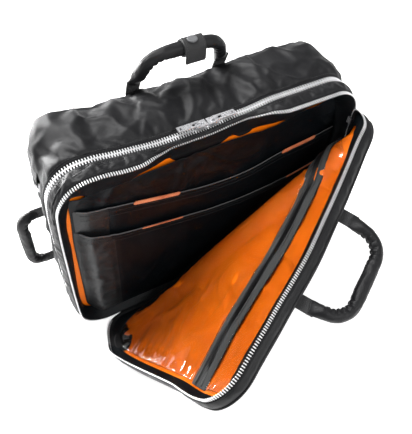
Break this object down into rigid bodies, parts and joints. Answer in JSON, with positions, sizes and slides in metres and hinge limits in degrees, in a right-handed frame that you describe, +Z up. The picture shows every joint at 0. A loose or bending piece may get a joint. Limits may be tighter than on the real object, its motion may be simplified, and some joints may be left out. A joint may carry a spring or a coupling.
{
  "type": "soft zip briefcase",
  "caption": "Soft nylon briefcase with zipped compartments, its front panel unzipped and folded out about a slanting line to show an orange lining and pockets.",
  "frame": {"origin": "on the ground, under the body's width centre, with the body from y -0.089 to 0.061", "axes": "+X to the bag's right as seen from its front, +Y to its back, +Z up"},
  "size_m": [0.4859, 0.3666, 0.3768],
  "materials": {
    "black_nylon": "satin twill nylon over thin padding",
    "black_webbing": "woven webbing and zip tape",
    "orange_lining": "thin satin lining",
    "orange_binding": "ribbed binding",
    "foam": "open foam",
    "board": "stiff sheet",
    "clear_vinyl": "clear glossy film",
    "black_coil": "nylon coil",
    "zip_metal": "polished teeth",
    "silver_metal": "bright plated metal"
  },
  "bodies": {
    "rear_section": {"back_panel": "black_nylon", "back_foam": "foam", "rear_lining": "black_nylon", "rear_gusset": "black_nylon", "rear_base": "black_nylon", "base_board": "board", "main_zip_rear_tape": "black_webbing", "main_zip_rear_teeth": "zip_metal", "rear_handle_anchors": "black_webbing", "side_handle_anchors": "black_webbing", "ring_tab_left": "black_webbing", "ring_tab_right": "black_webbing"},
    "front_section": {"main_zip_front_teeth": "zip_metal", "main_zip_front_tape": "black_webbing", "middle_gusset": "black_nylon", "divider_panel": "black_nylon", "front_lining": "orange_lining", "organizer_panel": "black_nylon", "upper_pocket": "black_nylon", "lower_pocket": "black_nylon", "upper_bindings": "orange_binding", "lower_bindings": "orange_binding", "rim_facing": "black_nylon", "front_zip_band_tape": "black_webbing", "front_zip_band_teeth": "zip_metal", "front_zip_stop": "zip_metal", "lower_front_panel": "black_nylon", "lower_front_gusset": "black_nylon", "lower_front_lining": "orange_lining", "lower_front_zip_teeth": "zip_metal", "lower_front_zip_tape": "black_webbing"},
    "flap": {"flap_panel": "black_nylon", "flap_gusset": "black_nylon", "flap_lining": "orange_lining", "flap_zip_teeth": "zip_metal", "flap_zip_tape": "black_webbing", "flap_facing": "black_nylon", "vinyl_pocket": "clear_vinyl", "pocket_zip_band": "black_webbing", "pocket_zip_coil": "black_coil", "front_handle_anchors": "black_webbing"},
    "rear_handle": {"rear_handle_straps": "black_webbing", "rear_handle_grip": "black_nylon", "keeper_strap": "black_nylon"},
    "keeper": {"keeper_tab": "black_nylon", "keeper_snap": "silver_metal"},
    "front_handle": {"front_handle_straps": "black_webbing", "front_handle_grip": "black_nylon"},
    "side_handle": {"side_handle_straps": "black_webbing", "side_handle_grip": "black_nylon"},
    "left_ring": {"d_ring_left": "silver_metal"},
    "right_ring": {"d_ring_right": "silver_metal"},
    "main_slider_l": {"main_left_slider": "silver_metal"},
    "main_pull_l": {"main_left_pull": "silver_metal"},
    "main_slider_r": {"main_right_slider": "silver_metal"},
    "main_pull_r": {"main_right_pull": "silver_metal"},
    "front_zip_slider": {"front_slider": "silver_metal"},
    "front_zip_pull": {"front_pull": "silver_metal"},
    "pocket_zip_slider": {"pocket_slider": "silver_metal"},
    "pocket_zip_pull": {"pocket_pull": "silver_metal"}
  },
  "joints": [
    {"name": "main_opening", "type": "hinge", "parent": "rear_section", "child": "front_section", "pos_m": [0, -0.029, 0], "axis": [1, 0, 0], "range_deg": [0, 80]},
    {"name": "flap_fold", "type": "hinge", "parent": "front_section", "child": "flap", "pos_m": [-0.161, -0.061, 0], "axis": [0.8148, 0, 0.5798], "range_deg": [-62, 0]},
    {"name": "rear_handle_swing", "type": "hinge", "parent": "rear_section", "child": "rear_handle", "pos_m": [-0.002, 0.0625, 0.304], "axis": [1, 0, 0], "range_deg": [-140, 40]},
    {"name": "front_handle_swing", "type": "hinge", "parent": "flap", "child": "front_handle", "pos_m": [0.05502, -0.21089, 0.20844], "axis": [0.8217, 0.5119, 0.2506], "range_deg": [-55, 100]},
    {"name": "side_handle_swing", "type": "hinge", "parent": "rear_section", "child": "side_handle", "pos_m": [-0.2135, 0.035, 0.124], "axis": [0, 0, 1], "range_deg": [-60, 60]},
    {"name": "keeper_opening", "type": "hinge", "parent": "rear_handle", "child": "keeper", "pos_m": [0.006, 0.0431, 0.3751], "axis": [-1, 0, 0], "range_deg": [0, 110]},
    {"name": "left_ring_swing", "type": "hinge", "parent": "rear_section", "child": "left_ring", "pos_m": [-0.213, 0.022, 0.252], "axis": [0, 1, 0], "range_deg": [-8, 142]},
    {"name": "right_ring_swing", "type": "hinge", "parent": "rear_section", "child": "right_ring", "pos_m": [0.213, 0.022, 0.252], "axis": [0, -1, 0], "range_deg": [-100, 50]},
    {"name": "main_left_slide", "type": "slide", "parent": "rear_section", "child": "main_slider_l", "axis": [-1, 0, 0], "range_m": [0, 0.12]},
    {"name": "main_left_pull_swing", "type": "hinge", "parent": "main_slider_l", "child": "main_pull_l", "pos_m": [-0.018, -0.029, 0.3047], "axis": [0, 1, 0], "range_deg": [0, 120]},
    {"name": "main_right_slide", "type": "slide", "parent": "rear_section", "child": "main_slider_r", "axis": [1, 0, 0], "range_m": [0, 0.12]},
    {"name": "main_right_pull_swing", "type": "hinge", "parent": "main_slider_r", "child": "main_pull_r", "pos_m": [0.002, -0.029, 0.3047], "axis": [0, -1, 0], "range_deg": [0, 120]},
    {"name": "front_zip_slide", "type": "slide", "parent": "front_section", "child": "front_zip_slider", "axis": [0, 0, -1], "range_m": [0, 0.18]},
    {"name": "front_zip_pull_swing", "type": "hinge", "parent": "front_zip_slider", "child": "front_zip_pull", "pos_m": [0.21207, -0.061, 0.24795], "axis": [0, -1, 0], "range_deg": [0, 120]},
    {"name": "pocket_zip_slide", "type": "slide", "parent": "flap", "child": "pocket_zip_slider", "axis": [-0.8217, -0.5119, -0.2506], "range_m": [-0.03, 0.24]},
    {"name": "pocket_zip_pull_swing", "type": "hinge", "parent": "pocket_zip_slider", "child": "pocket_zip_pull", "pos_m": [0.11705, -0.09601, 0.20551], "axis": [0.2506, -0.7194, 0.6478], "range_deg": [0, 120]}
  ]
}
